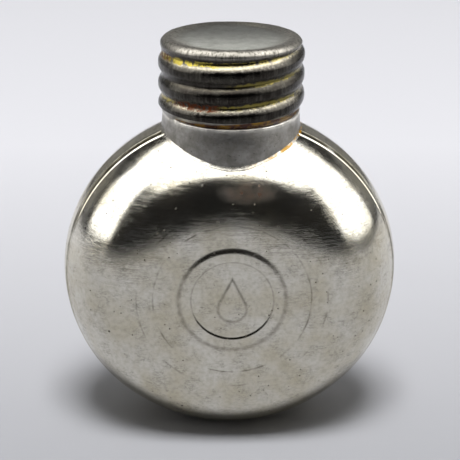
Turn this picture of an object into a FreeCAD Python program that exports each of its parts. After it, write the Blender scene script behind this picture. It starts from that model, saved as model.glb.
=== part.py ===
"""Round tinned-steel oil bottle with a rolled screw cap and a brush fixed under the cap.

The drum is two drawn steel pans, one slid into the other and soldered. A short neck with a
rolled thread is soldered into a hole cut through the top of both pans. The drum's own axis is
horizontal, along Y, with the marked face towards -Y. The neck's axis is Z. The bottle stands on
a small flat under the drum, and the origin is the middle of that flat.
"""
import FreeCAD, Part
import math
import os
import Sketcher
from FreeCAD import Vector

DIMENSIONS = (
    ("drum_radius", 30.0, "outer radius of the drum"),
    ("pan_depth", 15.5, "middle plane of the drum to the top of either face"),
    ("rim_power", 4.9, "squareness of the pan's outline across the drum"),
    ("crown_power", 1.54, "squareness of the pan's outline along its depth"),
    ("drum_height", 29.6, "drum axis above the flat it stands on"),
    ("steel_sheet", 0.5, "sheet of the pans and the neck"),
    ("seam_offset", 3.1, "seam in front of the drum's middle plane"),
    ("seam_width", 0.5, "open groove between the two pans"),
    ("skirt_drop", 1.0, "front pan's inner skirt below the drum radius"),
    ("seam_fill", 0.15, "solder in the bottom of the seam's groove"),
    ("skirt_reach", 2.0, "end of the front pan's skirt behind the middle plane"),
    ("mark_radius", 8.4, "centre line of the pressed ring"),
    ("mark_bead", 2.8, "section radius of the pressed ring"),
    ("mark_height", 0.25, "ring and drop above the face"),
    ("drop_radius", 2.5, "round end of the pressed drop"),
    ("drop_length", 5.6, "round end's centre to the drop's point"),
    ("neck_radius", 12.06, "collar of the neck at its lip"),
    ("neck_flare", 0.25, "collar's extra radius at its foot"),
    ("flare_start", 26.5, "level above the drum axis where the flare is full"),
    ("neck_foot", 22.9, "neck's lower edge above the drum axis"),
    ("neck_lip", 30.1, "collar's lip above the drum axis"),
    ("neck_mouth", 40.85, "mouth above the drum axis"),
    ("solder_reach", 0.45, "solder fillet out from the neck and the drum"),
    ("thread_pitch", 3.76, "rise of the rolled thread in one turn"),
    ("thread_crest", 39.81, "a thread crest above the drum axis, at the front"),
    ("thread_depth", 0.62, "crest to root of the rolled thread"),
    ("root_power", 3.2, "narrowness of the thread's roots: 2 is as wide as the crests"),
    ("lip_roll", 0.35, "rise over which the collar's lip turns into the thread"),
    ("mouth_fade", 1.2, "rise over which the neck's thread runs out under the mouth"),
    ("mouth_roll", 0.25, "rounding of the mouth, along the neck"),
    ("mouth_ease", 0.12, "rounding of the mouth, across the sheet"),
    ("thread_slack", 0.22, "radial play between cap and neck threads"),
    ("cap_radius", 12.84, "outer radius of the cap's crests"),
    ("cap_sheet", 0.4, "sheet of the cap"),
    ("cap_rim", 31.55, "cap's open edge above the drum axis"),
    ("cap_top", 43.45, "cap's highest ring above the drum axis"),
    ("cap_corner", 1.4, "rounding of the cap's top edge"),
    ("cap_draw", 0.35, "top edge's radius below that of the crests"),
    ("cap_fade", 0.8, "rise over which the cap's thread runs out into its top edge"),
    ("cap_dish", 0.45, "sink of the cap's flat middle"),
    ("dish_radius", 8.4, "flat middle of the cap"),
    ("gasket_bore", 4.3, "hole of the leather gasket"),
    ("gasket_radius", 11.4, "outer radius of the leather gasket"),
    ("gasket_sheet", 1.45, "thickness of the leather gasket"),
    ("part_gap", 0.15, "play above and below the gasket"),
    ("foot_radius", 4.0, "flange of the stem's foot"),
    ("foot_sheet", 0.8, "thickness of that flange"),
    ("washer_radius", 7.0, "gasket washer"),
    ("washer_sheet", 0.5, "thickness of the gasket washer"),
    ("stem_radius", 1.25, "wire of the brush stem"),
    ("stem_end", 8.0, "ferrule's shoulder above the drum axis"),
    ("rivet_radius", 2.0, "stem's riveted end inside the ferrule"),
    ("rivet_height", 0.7, "height of that riveted end"),
    ("ferrule_radius", 3.2, "outer radius of the ferrule"),
    ("ferrule_sheet", 0.4, "sheet of the ferrule"),
    ("ferrule_length", 10.0, "shoulder to open end of the ferrule"),
    ("ferrule_round", 0.6, "softened edge of the ferrule's shoulder"),
    ("crimp_start", 2.4, "crimped groove above the ferrule's open end"),
    ("crimp_depth", 0.35, "depth of that groove"),
    ("crimp_step", 0.6, "height of each flank of that groove, and of its floor"),
    ("tuft_length", 20.0, "bristle below the ferrule"),
    ("tuft_spread", 4.4, "radius of the loose bristle ends"),
    ("tuft_round", 0.8, "rounding in of the tuft's end"),
    ("tuft_taper", 3.0, "height of that rounding"),
    ("tuft_play", 0.4, "bristle ends below the stem's riveted end"),
)

doc = FreeCAD.newDocument("oil_bottle")
sheet = doc.addObject("Spreadsheet::Sheet", "dims")
for row, (alias, value, meaning) in enumerate(DIMENSIONS, start=1):
    sheet.set(f"A{row}", meaning)
    sheet.set(f"B{row}", str(value))
    sheet.setAlias(f"B{row}", alias)
doc.recompute()

TURN = 2 * math.pi
ROUND_POLES = 48
OPEN_SPACE = 100.0
DRUM_AXIS = Vector(0, 0, sheet.drum_height)


# ---- general helpers ------------------------------------------------------------------------

def add(kind, name, **expressions):
    """A document object whose named properties follow the dimension sheet."""
    made = doc.addObject(kind, name)
    for prop, expression in expressions.items():
        made.setExpression(prop.replace("_", "."), expression)
    return made


def cut(name, base, tool):
    """base with tool taken away."""
    made = doc.addObject("Part::Cut", name)
    made.Base, made.Tool = base, tool
    return made


def feature(name, shape, base=Vector()):
    """A document object that holds a shape computed here, moved to base."""
    made = doc.addObject("Part::Feature", name)
    made.Shape = shape
    made.Placement = FreeCAD.Placement(base, FreeCAD.Rotation())
    return made


def turned(name, corners):
    """A body turned round Z from a closed outline of (radius, height) expressions."""
    body = doc.addObject("PartDesign::Body", name)
    sketch = body.newObject("Sketcher::SketchObject", name + "_outline")
    plane = next(f for f in body.Origin.OriginFeatures if f.Role == "XZ_Plane")
    sketch.AttachmentSupport = (plane, "")
    sketch.MapMode = "FlatFace"
    doc.recompute()
    count = len(corners)
    for index in range(count):
        here = Vector(1 + index, index * index, 0)
        after = Vector(1 + (index + 1) % count, ((index + 1) % count) ** 2, 0)
        sketch.addGeometry(Part.LineSegment(here, after), False)
    for index in range(count):
        sketch.addConstraint(Sketcher.Constraint("Coincident", index, 2, (index + 1) % count, 1))
    for index, (radius, height) in enumerate(corners):
        if radius == "0":
            sketch.addConstraint(Sketcher.Constraint("PointOnObject", index, 1, -2))
        else:
            number = sketch.addConstraint(Sketcher.Constraint("DistanceX", index, 1, 1.0))
            sketch.setExpression(f"Constraints[{number}]", radius)
        number = sketch.addConstraint(Sketcher.Constraint("DistanceY", index, 1, 1.0))
        sketch.setExpression(f"Constraints[{number}]", height)
    doc.recompute()
    turn = body.newObject("PartDesign::Revolution", name + "_turn")
    turn.Profile = sketch
    turn.ReferenceAxis = (sketch, ["V_Axis"])
    turn.Angle = 360
    return body


# ---- drum -----------------------------------------------------------------------------------

def pan_outline(radius, depth, edge, pole, steps=18):
    """Smooth curve of a pan's outline, x out from the drum axis and y along it, from y = edge
    to the pole at y = pole: (x / radius) ** rim_power + (|y| / depth) ** crown_power = 1."""
    def bearing(y):
        share = (1 - (abs(y) / depth) ** sheet.crown_power) ** (1 / sheet.rim_power)
        return math.copysign(math.acos(share), y)

    first, last = bearing(edge), math.copysign(math.pi / 2, pole)
    points = []
    for step in range(steps):
        angle = first + (last - first) * step / steps
        rise = (1 - math.cos(angle) ** sheet.rim_power) ** (1 / sheet.crown_power)
        points.append(Vector(
            radius * math.cos(angle), math.copysign(depth * rise, angle), 0))
    points.append(Vector(0, pole, 0))
    curve = Part.BSplineCurve()
    curve.interpolate(points)
    return curve.toShape(), points[0]


def drum_form(name, outline_edge, start, back):
    """Solid turned round the drum axis from an outline that starts off the axis at start, runs
    to the pole, and is closed by the corners in back, listed from the axis to start."""
    pole = max((v.Point for v in outline_edge.Vertexes), key=lambda p: abs(p.y))
    corners = [pole] + [Vector(*corner) for corner in back] + [start]
    lines = [Part.makeLine(a, b) for a, b in zip(corners, corners[1:])]
    face = Part.Face(Part.Wire(Part.__sortEdges__([outline_edge] + lines)))
    return feature(name, face.revolve(Vector(), Vector(0, 1, 0), 360), DRUM_AXIS)


half_gap = sheet.seam_width / 2
front_edge = -sheet.seam_offset - half_gap
rear_edge = -sheet.seam_offset + half_gap
skirt_radius = sheet.drum_radius - sheet.skirt_drop
hollow_radius = skirt_radius - sheet.steel_sheet
inner_radius = sheet.drum_radius - sheet.steel_sheet
inner_depth = sheet.pan_depth - sheet.steel_sheet

outline, start = pan_outline(sheet.drum_radius, sheet.pan_depth, front_edge, -sheet.pan_depth)
front_form = drum_form("front_form", outline, start, (
    (0, sheet.skirt_reach, 0),
    (skirt_radius, sheet.skirt_reach, 0),
    (skirt_radius, front_edge, 0),
))
outline, start = pan_outline(inner_radius, inner_depth, front_edge - sheet.steel_sheet, -inner_depth)
front_hollow = drum_form("front_hollow", outline, start, (
    (0, sheet.skirt_reach, 0),
    (hollow_radius, sheet.skirt_reach, 0),
    (hollow_radius, start.y, 0),
))
outline, start = pan_outline(sheet.drum_radius, sheet.pan_depth, rear_edge, sheet.pan_depth)
rear_form = drum_form("rear_form", outline, start, ((0, rear_edge, 0),))
outline, start = pan_outline(inner_radius, inner_depth, rear_edge, inner_depth)
rear_hollow = drum_form("rear_hollow", outline, start, ((0, rear_edge, 0),))


def drop_pad():
    """The pressed drop, its point up, standing off the front face."""
    radius, reach = sheet.drop_radius, sheet.drop_length
    lean = math.asin(radius / reach)
    touch = Vector(radius * math.cos(lean), 0, radius * math.sin(lean))
    point = Vector(0, 0, reach)
    mirror = Vector(-touch.x, 0, touch.z)
    edges = [
        Part.Arc(touch, Vector(0, 0, -radius), mirror).toShape(),
        Part.makeLine(mirror, point),
        Part.makeLine(point, touch),
    ]
    face = Part.Face(Part.Wire(edges))
    return face.extrude(Vector(0, sheet.steel_sheet + sheet.mark_height, 0))


drop_centre = sheet.drum_height - (sheet.drop_length - sheet.drop_radius) / 2
mark_drop = feature(
    "mark_drop", drop_pad(), Vector(0, -sheet.pan_depth - sheet.mark_height, drop_centre))
mark_ring = add("Part::Torus", "mark_ring", Radius1="dims.mark_radius", Radius2="dims.mark_bead")
mark_ring.Placement.Rotation = FreeCAD.Rotation(Vector(1, 0, 0), 90)
mark_ring.setExpression("Placement.Base.y", "-dims.pan_depth - dims.mark_height + dims.mark_bead")
mark_ring.setExpression("Placement.Base.z", "dims.drum_height")
marked_form = doc.addObject("Part::MultiFuse", "marked_form")
marked_form.Shapes = [front_form, mark_ring, mark_drop]


def space_below(name, top):
    """Everything under the level that the expression top gives."""
    block = doc.addObject("Part::Box", name)
    block.Length = block.Width = block.Height = OPEN_SPACE
    block.Placement.Base = Vector(-OPEN_SPACE / 2, -OPEN_SPACE / 2, 0)
    block.setExpression("Placement.Base.z", f"{top} - {OPEN_SPACE}")
    return block


floor_space = space_below("floor_space", "0")
foot_sheet = space_below("foot_sheet", "dims.steel_sheet")
neck_hole = add(
    "Part::Cylinder", "neck_hole",
    Radius="dims.neck_radius + dims.neck_flare", Placement_Base_z="dims.drum_height",
)
neck_hole.Height = OPEN_SPACE

for pan, form, hollow in (
    ("front_shell", marked_form, front_hollow),
    ("rear_shell", rear_form, rear_hollow),
):
    flattened = cut(pan + "_flattened", form, floor_space)
    space = cut(pan + "_space", hollow, foot_sheet)
    cut(pan, cut(pan + "_pan", flattened, space), neck_hole)

# The seam's solder fills the bottom of the groove, from the skirt up, and stops at the neck.
seam_ring = turned("seam_ring", (
    ("dims.drum_radius - dims.skirt_drop", "0"),
    ("dims.drum_radius - dims.skirt_drop", "dims.seam_width"),
    ("dims.drum_radius - dims.skirt_drop + dims.seam_fill", "dims.seam_width"),
    ("dims.drum_radius - dims.skirt_drop + dims.seam_fill", "0"),
))
seam_ring.Placement = FreeCAD.Placement(
    Vector(0, rear_edge, sheet.drum_height), FreeCAD.Rotation(Vector(1, 0, 0), 90))
cut("seam_solder", seam_ring, neck_hole)


# ---- rolled thread --------------------------------------------------------------------------

def groove(height, angle):
    """0 on a crest to 1 in a root of the right-hand thread; height is above the drum axis."""
    turns = (height - sheet.thread_crest) / sheet.thread_pitch - angle / TURN
    return abs(math.sin(math.pi * turns)) ** sheet.root_power


def smooth(low, high, value):
    """0 below low, 1 above high, and a smooth rise between."""
    part = min(1.0, max(0.0, (value - low) / (high - low)))
    return part * part * (3 - 2 * part)


def skin(stations):
    """Smooth sheet round Z. Each station maps an angle from -Y to (radius, height)."""
    # A ring of spline poles draws a slightly smaller circle, so the poles stand out by this.
    swell = 3 / (2 + math.cos(TURN / ROUND_POLES))
    poles = []
    for turn in range(ROUND_POLES):
        angle = TURN * turn / ROUND_POLES
        column = []
        for station in stations:
            radius, height = station(angle)
            reach = radius * swell
            column.append(Vector(
                reach * math.sin(angle), -reach * math.cos(angle), height + sheet.drum_height))
        poles.append(column)
    surface = Part.BSplineSurface()
    spans = len(stations) - 3
    surface.buildFromPolesMultsKnots(
        poles,
        [1] * (ROUND_POLES + 1), [4] + [1] * (spans - 1) + [4],
        [float(i) for i in range(ROUND_POLES + 1)], [float(i) for i in range(spans + 1)],
        True, False, 3, 3)
    return surface.toShape()


def rims(face):
    """A skin's two end rings, lowest first."""
    rings = [edge for edge in face.Edges if edge.isClosed()]
    return sorted(rings, key=lambda ring: ring.BoundBox.ZMin)


def flat_end(*rings):
    """The flat face inside one ring, or between two."""
    return Part.makeFace([Part.Wire(ring) for ring in rings], "Part::FaceMakerBullseye")


def closed_solid(faces):
    shell = Part.makeShell(faces)
    shell.sewShape()
    solid = Part.makeSolid(shell)
    if solid.Volume < 0:
        solid.reverse()
    return solid


def levels(low, high, step):
    """Even heights from low to high, about step apart."""
    count = max(1, round((high - low) / step))
    return [low + (high - low) * i / count for i in range(count + 1)]


def neck_skin(inset):
    """The neck's outer skin, or its bore when inset is the sheet's thickness."""
    crest = sheet.cap_radius - sheet.cap_sheet - sheet.thread_slack
    lip, mouth = sheet.neck_lip, sheet.neck_mouth

    def station(height):
        def at(angle):
            flare = 1 - smooth(sheet.flare_start, lip, height)
            collar = sheet.neck_radius + sheet.neck_flare * flare
            dip = max(groove(height, angle), smooth(mouth - sheet.mouth_fade, mouth, height))
            thread = crest - sheet.thread_depth * dip
            share = smooth(lip, lip + sheet.lip_roll, height)
            radius = collar * (1 - share) + thread * share
            over = max(0.0, 1 - (mouth - height) / sheet.mouth_roll)
            round_off = sheet.mouth_ease * over ** 2 * (1 if inset == 0 else -1)
            return radius - inset - round_off, height
        return at

    collar_step, edge_step, thread_step = 1.2, 0.1, 0.24
    thread_start, thread_stop = lip + 0.5, mouth - 0.35
    heights = levels(sheet.neck_foot, lip - 0.4, collar_step)
    heights += levels(lip - 0.3, thread_start, edge_step)
    heights += levels(thread_start + thread_step, thread_stop, thread_step)
    heights += levels(thread_stop + edge_step, mouth, edge_step)
    return skin([station(height) for height in heights])


outer, bore = neck_skin(0), neck_skin(sheet.steel_sheet)
ends = [flat_end(a, b) for a, b in zip(rims(outer), rims(bore))]
feature("neck_tube", closed_solid([outer, bore] + ends))


def cap_skin(inset):
    """The cap's outer skin, or its inner one when inset is the sheet's thickness."""
    shoulder = sheet.cap_top - sheet.cap_corner
    top, roll = sheet.cap_top - inset, sheet.cap_corner - inset
    side = sheet.cap_radius - inset
    corner_side = side - sheet.cap_draw
    thread_end = shoulder + sheet.cap_corner / 2

    def ring(radius, height):
        thread = sheet.thread_depth * (1 - smooth(thread_end - sheet.cap_fade, thread_end, height))
        return lambda angle: (radius - thread * groove(height, angle), height)

    def wall(height):
        lean = smooth(shoulder - sheet.cap_corner, shoulder, height)
        return ring(side - sheet.cap_draw * lean, height)

    wall_step, corner_steps, slope_steps = 0.24, 8, 5
    stations = [wall(height) for height in levels(sheet.cap_rim, shoulder, wall_step)]
    for step in range(1, corner_steps + 1):
        bend = math.pi / 2 * step / corner_steps
        stations.append(ring(
            corner_side - roll + roll * math.cos(bend), shoulder + roll * math.sin(bend)))
    edge = corner_side - roll
    for step in range(1, slope_steps + 1):
        share = step / slope_steps
        radius = edge + (sheet.dish_radius - edge) * share
        stations.append(ring(radius, top - sheet.cap_dish * smooth(0, 1, share)))
    stations += [ring(sheet.dish_radius - inward, top - sheet.cap_dish) for inward in (1, 2, 3)]
    return skin(stations)


outer, inner = cap_skin(0), cap_skin(sheet.cap_sheet)
feature("cap_shell", closed_solid([
    outer, inner, flat_end(rims(outer)[0], rims(inner)[0]),
    flat_end(rims(outer)[1]), flat_end(rims(inner)[1])]))


# ---- neck solder ----------------------------------------------------------------------------

def drum_swell(name, reach):
    """The whole drum's outside, grown by reach."""
    radius, depth = sheet.drum_radius + reach, sheet.pan_depth + reach
    edge, rim = pan_outline(radius, depth, 0, -depth)
    half = Part.Face(Part.Wire(
        [edge, Part.makeLine(Vector(0, -depth, 0), Vector()), Part.makeLine(Vector(), rim)]))
    front = half.revolve(Vector(), Vector(0, 1, 0), 360)
    back = front.mirror(Vector(), Vector(0, 1, 0))
    return feature(name, front.fuse(back), DRUM_AXIS)


NECK_SIDE = "dims.neck_radius + dims.neck_flare"
SOLDER_SIDE = f"{NECK_SIDE} + dims.solder_reach"
BAND_FOOT = "dims.drum_height + dims.neck_foot - dims.solder_reach"
BAND_TOP = "dims.drum_height + dims.neck_lip"

solder_ring = turned("solder_ring", (
    (NECK_SIDE, BAND_FOOT),
    (SOLDER_SIDE, BAND_FOOT),
    (SOLDER_SIDE, BAND_TOP),
    (NECK_SIDE, BAND_TOP),
))
solder_band = doc.addObject("Part::Common", "solder_band")
solder_band.Base = solder_ring
solder_band.Tool = drum_swell("drum_grown", sheet.solder_reach)
cut("neck_solder", solder_band, drum_swell("drum_outside", 0))


# ---- gasket and brush -----------------------------------------------------------------------

UNDER_CAP = "dims.drum_height + dims.cap_top - dims.cap_dish - dims.cap_sheet"
GASKET_TOP = f"{UNDER_CAP} - dims.part_gap"
GASKET_FOOT = f"{GASKET_TOP} - dims.gasket_sheet"
WASHER_TOP = f"{GASKET_FOOT} - dims.part_gap"
WASHER_FOOT = f"{WASHER_TOP} - dims.washer_sheet"
FOOT_FOOT = f"{UNDER_CAP} - dims.foot_sheet"
SHOULDER = "dims.drum_height + dims.stem_end"
RIVET_TOP = f"{SHOULDER} - 2 * dims.ferrule_sheet"
RIVET_FOOT = f"{RIVET_TOP} - dims.rivet_height"
FERRULE_END = f"{SHOULDER} - dims.ferrule_length"
FERRULE_BORE = "dims.ferrule_radius - dims.ferrule_sheet"
CRIMP_SIDE = "dims.ferrule_radius - dims.crimp_depth"
CRIMP_BORE = f"{FERRULE_BORE} - dims.crimp_depth"
CRIMP_FOOT = f"{FERRULE_END} + dims.crimp_start"
CRIMP_FLOOR = f"{CRIMP_FOOT} + dims.crimp_step"
CRIMP_CEILING = f"{CRIMP_FLOOR} + dims.crimp_step"
CRIMP_TOP = f"{CRIMP_CEILING} + dims.crimp_step"
TUFT_END = f"{FERRULE_END} - dims.tuft_length"
TUFT_TOP = f"{RIVET_FOOT} - dims.tuft_play"

turned("cap_gasket", (
    ("dims.gasket_bore", GASKET_FOOT),
    ("dims.gasket_radius", GASKET_FOOT),
    ("dims.gasket_radius", GASKET_TOP),
    ("dims.gasket_bore", GASKET_TOP),
))
turned("stem_foot", (
    ("0", FOOT_FOOT),
    ("dims.foot_radius", FOOT_FOOT),
    ("dims.foot_radius", UNDER_CAP),
    ("0", UNDER_CAP),
))
turned("gasket_washer", (
    ("dims.stem_radius", WASHER_FOOT),
    ("dims.washer_radius", WASHER_FOOT),
    ("dims.washer_radius", WASHER_TOP),
    ("dims.stem_radius", WASHER_TOP),
))
turned("brush_stem", (
    ("0", RIVET_FOOT),
    ("dims.rivet_radius", RIVET_FOOT),
    ("dims.rivet_radius", RIVET_TOP),
    ("dims.stem_radius", RIVET_TOP),
    ("dims.stem_radius", FOOT_FOOT),
    ("0", FOOT_FOOT),
))
turned("brush_ferrule", (
    (FERRULE_BORE, FERRULE_END),
    ("dims.ferrule_radius", FERRULE_END),
    ("dims.ferrule_radius", CRIMP_FOOT),
    (CRIMP_SIDE, CRIMP_FLOOR),
    (CRIMP_SIDE, CRIMP_CEILING),
    ("dims.ferrule_radius", CRIMP_TOP),
    ("dims.ferrule_radius", f"{SHOULDER} - dims.ferrule_round"),
    ("dims.ferrule_radius - dims.ferrule_round", SHOULDER),
    ("dims.stem_radius", SHOULDER),
    ("dims.stem_radius", RIVET_TOP),
    (FERRULE_BORE, RIVET_TOP),
    (FERRULE_BORE, CRIMP_TOP),
    (CRIMP_BORE, CRIMP_CEILING),
    (CRIMP_BORE, CRIMP_FLOOR),
    (FERRULE_BORE, CRIMP_FOOT),
))
turned("bristle_tuft", (
    ("0", TUFT_END),
    ("dims.tuft_spread - dims.tuft_round", TUFT_END),
    ("dims.tuft_spread", f"{TUFT_END} + dims.tuft_taper"),
    (FERRULE_BORE, FERRULE_END),
    (FERRULE_BORE, CRIMP_FOOT),
    (CRIMP_BORE, CRIMP_FLOOR),
    (CRIMP_BORE, CRIMP_CEILING),
    (FERRULE_BORE, CRIMP_TOP),
    (FERRULE_BORE, TUFT_TOP),
    ("0", TUFT_TOP),
))
doc.recompute()


# ---- check and write ------------------------------------------------------------------------

NODES = (
    "front_shell", "rear_shell", "seam_solder", "neck_tube", "neck_solder", "cap_shell",
    "cap_gasket", "gasket_washer", "stem_foot", "brush_stem", "brush_ferrule", "bristle_tuft",
)
for item in doc.Objects:
    if {"Invalid", "Error"} & set(item.State):
        raise RuntimeError(f"{item.Name} did not recompute: {item.State}")

os.makedirs("parts", exist_ok=True)
for node in NODES:
    item = doc.getObject(node)
    item.Label = node
    if item.Shape.isNull() or not item.Shape.isValid():
        raise RuntimeError(f"{node} has no valid shape")
    item.Shape.exportStep(f"parts/{node}.step")
    box = item.Shape.BoundBox
    print(f"{node}: {len(item.Shape.Solids)} solid, {item.Shape.Volume:.1f} mm3, "
          f"z {box.ZMin:.2f} to {box.ZMax:.2f}")
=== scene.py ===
"""Looks of a round tinned-steel oil bottle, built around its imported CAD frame.

Lengths in this file are millimetres unless a name or a comment says otherwise. They become
metres only where they meet Blender, through MM.
"""
import math
import random
from functools import partial

import bpy
from bpy.props import FloatProperty, FloatVectorProperty, IntProperty, PointerProperty
from mathutils import Matrix, Vector, noise


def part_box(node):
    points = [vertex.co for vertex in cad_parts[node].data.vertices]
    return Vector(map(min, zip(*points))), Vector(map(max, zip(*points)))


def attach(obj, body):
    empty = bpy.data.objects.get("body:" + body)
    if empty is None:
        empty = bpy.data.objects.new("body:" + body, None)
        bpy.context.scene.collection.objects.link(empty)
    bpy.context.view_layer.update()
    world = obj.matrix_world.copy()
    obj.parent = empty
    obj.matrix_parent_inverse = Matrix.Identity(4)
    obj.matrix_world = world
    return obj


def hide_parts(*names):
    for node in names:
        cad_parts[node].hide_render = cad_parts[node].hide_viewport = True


bl_info = {
    "name": "Steel oil bottle",
    "version": (1, 0, 0),
    "blender": (4, 5, 0),
    "location": "3D View > Sidebar > Oil bottle",
    "description": "Pressed pans, rolled neck, screw cap and brush of a round oil bottle",
    "category": "Object",
}

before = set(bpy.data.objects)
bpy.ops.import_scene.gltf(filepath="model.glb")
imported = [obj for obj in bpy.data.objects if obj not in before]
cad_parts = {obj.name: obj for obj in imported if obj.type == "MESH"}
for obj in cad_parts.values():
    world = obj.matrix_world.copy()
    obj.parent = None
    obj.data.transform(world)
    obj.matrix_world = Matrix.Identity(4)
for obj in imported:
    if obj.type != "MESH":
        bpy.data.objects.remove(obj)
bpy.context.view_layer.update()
MM = 0.001
TURN = 2 * math.pi


def reach_of(node):
    """The bottom, the top and the radius of a CAD node that is round about Z."""
    low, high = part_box(node)
    return low[2] / MM, high[2] / MM, high[0] / MM


# The drum's shape and the thread repeat the CAD model's driving dimensions. Levels of the neck
# and of the cap are heights above the drum's axis.
DRUM_LOW, DRUM_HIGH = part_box("rear_shell")
DRUM_RADIUS = (DRUM_HIGH[0] - DRUM_LOW[0]) / MM / 2
PAN_DEPTH = DRUM_HIGH[1] / MM
RIM_POWER = 4.9
CROWN_POWER = 1.54
DRUM_AXIS = 29.6
SHEET = 0.5
PAN_SHOULDER = 24.0
# The front pan's face is its outer skin forward of this and within this radius, under the mark.
FACE_SKIN = SHEET * 0.6 - PAN_DEPTH
MARKED_RADIUS = 11.4
SEAM_FRONT, SEAM_REAR = 3.5, 2.7
SEAM_MIDDLE = (SEAM_FRONT + SEAM_REAR) / 2
# The lumps of solder that bridge the seam: degrees round the drum from the top, and width.
SOLDER_LUMPS = ((37.0, 1.6), (-146.0, 2.2), (118.0, 1.4), (201.0, 1.8), (-78.0, 1.2))
# Rings worn in the face, as a radius and a strength, and a brown stain on the shoulder.
WEAR_RINGS = ((13.9, 1.0), (16.8, 0.6))
STAIN_X, STAIN_Z, STAIN_WIDE, STAIN_HIGH = 2.8, DRUM_AXIS + 19.6, 6.0, 2.2
SKIRT_RADIUS = DRUM_RADIUS - 1.0
SKIRT_REACH = 2.0
NECK_RADIUS, NECK_FLARE = 12.06, 0.25
FLARE_START = 26.5
NECK_FOOT, NECK_MOUTH = [level - DRUM_AXIS for level in reach_of("neck_tube")[:2]]
NECK_LIP = 30.1
PITCH = 3.76
CREST_LEVEL = 39.81
THREAD_DEPTH = 0.62
CAP_RADIUS = 12.84
CAP_SHEET = 0.4
THREAD_SLACK = 0.22
CAP_RIM, CAP_TOP = [level - DRUM_AXIS for level in reach_of("cap_shell")[:2]]
CAP_CORNER = 1.4
CAP_DRAW = 0.35
CAP_DISH = 0.45
DISH_RADIUS = 8.4


# ---- sizes and colours a user would change --------------------------------------------------

def linear(code):
    """An sRGB hex colour as linear red, green and blue."""
    parts = [int(code[i:i + 2], 16) / 255 for i in (0, 2, 4)]
    return tuple(p / 12.92 if p <= 0.04045 else ((p + 0.055) / 1.055) ** 2.4 for p in parts)


def length(name, description, default):
    return FloatProperty(name=name, description=description, default=default * MM,
                         unit="LENGTH", precision=5)


def colour(name, description, code):
    return FloatVectorProperty(name=name, description=description, default=linear(code),
                               subtype="COLOR", min=0, max=1)


def angle(name, description, degrees):
    return FloatProperty(name=name, description=description, default=math.radians(degrees),
                         subtype="ANGLE")


class DrumSettings(bpy.types.PropertyGroup):
    ring_radius: length("Ring radius", "Centre line of the pressed ring on the face", 8.1)
    ring_width: length("Ring width", "Width of the pressed ring's crown", 1.3)
    mark_height: length("Mark height", "How far the ring and the drop stand off the face", 0.15)
    waviness: length("Waviness", "Unevenness of the drawn sheet", 0.035)
    tin: colour("Tin", "Bright hot-dipped tin", "E2DED2")
    worn_tin: colour("Worn tin", "Tin dulled by handling", "C8BFA5")
    segments: IntProperty(name="Segments", description="Sides of the drum", default=180, min=48)


class NeckSettings(bpy.types.PropertyGroup):
    lip_roll: length("Lip roll", "Height over which the collar turns into the thread", 0.34)
    tin: colour("Neck tin", "Dull grey tin of the collar", "A8A59F")
    # The lip colour is worn tin with a painted highlight along the collar's rounded edge.
    lip: colour("Worn lip", "Bright rubbed edge at the top of the collar", "F0ECE2")
    dull_tin: colour("Stained tin", "Darker patches of the collar", "85827B")
    amber: colour("Dried oil", "Old oil dried to amber", "C08E14")
    brown: colour("Brown oil", "Old oil mixed with rust", "5A2A08")


class CapSettings(bpy.types.PropertyGroup):
    top: colour("Cap top", "Grey worn disc of the cap", "CBCCC5")
    rim: colour("Cap rim", "Rubbed band round the cap's top", "BDB8AD")
    side: colour("Cap side", "Dark oiled steel of the thread", "24201D")
    # The flank colour is wear and a painted highlight on the flanks that face up.
    flank_wear_and_highlight: colour("Worn flank", "Rubbed upper flanks of the thread", "77736B")
    film: colour("Oil film", "Old oil dried to a yellow film in the grooves", "A99A45")
    rust: colour("Rust", "Rust soaked with old oil", "6E3206")
    lean: FloatProperty(name="Lean", description="Slope of the cap's top, up to the front",
                        default=0.05)


class BrushSettings(bpy.types.PropertyGroup):
    bristles: IntProperty(name="Bristles", description="Number of bristles", default=320, min=20)
    bristle_colour: colour("Bristle", "Hog bristle soaked in oil", "3A2A18")
    leather: colour("Leather", "Oil-soaked gasket leather", "3B2413")


class StageSettings(bpy.types.PropertyGroup):
    camera_distance: FloatProperty(name="Camera distance", description="From the drum's centre",
                                   default=0.34112, unit="LENGTH")
    camera_azimuth: angle("Azimuth", "Camera to the right of the front", -1.87)
    camera_elevation: angle("Elevation", "Camera above the drum's centre", 23.08)
    camera_pitch: angle("Pitch", "How far the camera looks down", 21.98)
    camera_roll: angle("Roll", "Camera's turn about its own axis", 0.49)
    lens: FloatProperty(name="Lens", description="Focal length on a 36 mm sensor",
                        default=146.55, unit="CAMERA")
    floor_colour: colour("Floor", "Pale table behind the bottle", "E4E4E9")
    # Painted shade: the paper towards the camera is darker, as if less lit.
    near_floor_shade_colour: colour("Near floor", "Pale table towards the camera", "A9AAAF")
    wall_colour: colour("Wall", "Pale wall past the table's end", "DCDDE2")
    softbox_light: FloatProperty(name="Softbox", default=2.65, min=0,
                                 description="Radiance of the softbox, as the metal shows it")
    lamp_light: FloatProperty(name="Lamp", default=26.5, min=0,
                              description="Radiance of the high lamp that lights the table")


class BottleSettings(bpy.types.PropertyGroup):
    drum: PointerProperty(type=DrumSettings)
    neck: PointerProperty(type=NeckSettings)
    cap: PointerProperty(type=CapSettings)
    brush: PointerProperty(type=BrushSettings)
    stage: PointerProperty(type=StageSettings)


# ---- modelling helpers ----------------------------------------------------------------------

def begin(add, **settings):
    """Deselects all, adds a primitive and returns it with its place in its mesh."""
    bpy.ops.object.select_all(action="DESELECT")
    add(**settings)
    piece = bpy.context.object
    bpy.ops.object.transform_apply(location=True, rotation=True, scale=True)
    return piece


def name_piece(piece, name):
    piece.name = name
    piece.data.name = name


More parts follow.
